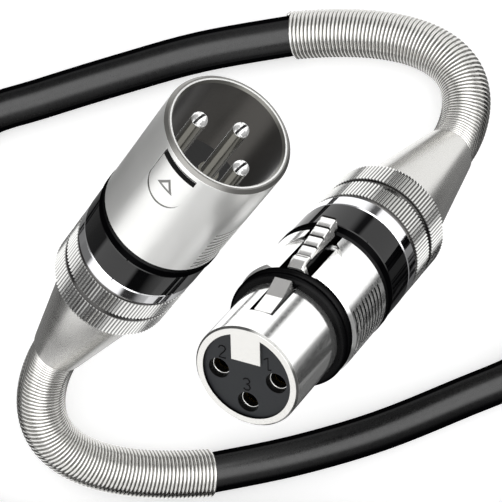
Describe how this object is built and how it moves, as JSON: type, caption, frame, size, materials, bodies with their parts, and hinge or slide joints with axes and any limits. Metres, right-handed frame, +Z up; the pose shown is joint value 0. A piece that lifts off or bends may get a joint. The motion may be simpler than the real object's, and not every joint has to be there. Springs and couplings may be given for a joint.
{
  "type": "xlr cable coil",
  "caption": "Microphone lead: male and latching female connector with knurled union nuts, tapered boots and long spring strain reliefs, spare cable laid in a coil.",
  "frame": {"origin": "middle of the underside of the two connectors and their springs, on the surface that the lead lies on, the free cable left out", "axes": "+Z up; +Y the way the male connector's cable side looks towards the female's, along the longer side of the pair's box; the cable leaves towards +X and -X"},
  "size_m": [0.1967, 0.0914, 0.0713],
  "materials": {
    "satin_nickel": "satin nickel plate on die-cast zinc",
    "bright_nickel": "bright nickel plate on die-cast zinc",
    "chrome_trim": "polished chrome plate",
    "turned_metal": "turned, satin nickel plate",
    "spring_wire": "polished spring steel wire",
    "pin_plate": "bright silver-coloured plate on brass",
    "socket_brass": "plated brass",
    "black_insert": "glass-filled nylon, fine matt",
    "black_band": "gloss black, bare",
    "black_rubber": "smooth black rubber",
    "natural_nylon": "natural nylon",
    "cable_jacket": "smooth flexible jacket, half gloss",
    "core_insulation": "coloured insulation"
  },
  "bodies": {
    "lead": {"male_shell": "satin_nickel", "male_insert": "black_insert", "male_contact_1": "pin_plate", "male_contact_2": "pin_plate", "male_contact_3": "pin_plate", "male_ground_spring": "spring_wire", "male_gasket": "black_rubber", "male_id_band": "black_band", "male_trim_ring": "chrome_trim", "male_boot": "satin_nickel", "male_chuck": "natural_nylon", "male_spring": "spring_wire", "male_cable_tail": "cable_jacket", "male_cores": "core_insulation", "female_shell": "bright_nickel", "female_insert": "black_insert", "female_contact_1": "socket_brass", "female_contact_2": "socket_brass", "female_contact_3": "socket_brass", "nose_ring": "black_rubber", "latch_pin": "spring_wire", "latch_spring": "spring_wire", "female_gasket": "black_rubber", "female_id_band": "black_band", "female_trim_ring": "chrome_trim", "female_boot": "satin_nickel", "female_chuck": "natural_nylon", "female_spring": "spring_wire", "female_cable_tail": "cable_jacket", "female_cores": "core_insulation", "cable_run_right": "cable_jacket", "cable_coil": "cable_jacket", "cable_run_left": "cable_jacket"},
    "latch": {"latch_lever": "bright_nickel"},
    "male_slip": {"male_slip_ring": "natural_nylon"},
    "male_union": {"male_nut": "turned_metal"},
    "female_slip": {"female_slip_ring": "natural_nylon"},
    "female_union": {"female_nut": "turned_metal"}
  },
  "joints": [
    {"name": "latch_press", "type": "hinge", "parent": "lead", "child": "latch", "pos_m": [0.0097, 0.00113, 0.04874], "axis": [0.8885, -0.2232, 0.401], "range_deg": [0, 5], "stiffness_Nm_per_rad": 0.5},
    {"name": "male_nut_travel", "type": "slide", "parent": "lead", "child": "male_slip", "axis": [-0.4102, -0.4719, -0.7804], "range_m": [0, 0.004]},
    {"name": "male_nut_turn", "type": "hinge", "parent": "male_slip", "child": "male_union", "pos_m": [-0.01941, -0.00159, 0.03543], "axis": [-0.4102, -0.4719, -0.7804], "range_deg": [0, 1440]},
    {"name": "female_nut_travel", "type": "slide", "parent": "lead", "child": "female_slip", "axis": [0.4584, 0.473, -0.7524], "range_m": [0, 0.004]},
    {"name": "female_nut_turn", "type": "hinge", "parent": "female_slip", "child": "female_union", "pos_m": [0.01798, 0.00286, 0.03134], "axis": [0.4584, 0.473, -0.7524], "range_deg": [0, 1440]}
  ],
  "couplings": [
    {"joint": "male_nut_travel", "follows": "male_nut_turn", "m_per_rad": 0.00015915},
    {"joint": "female_nut_travel", "follows": "female_nut_turn", "m_per_rad": 0.00015915}
  ]
}
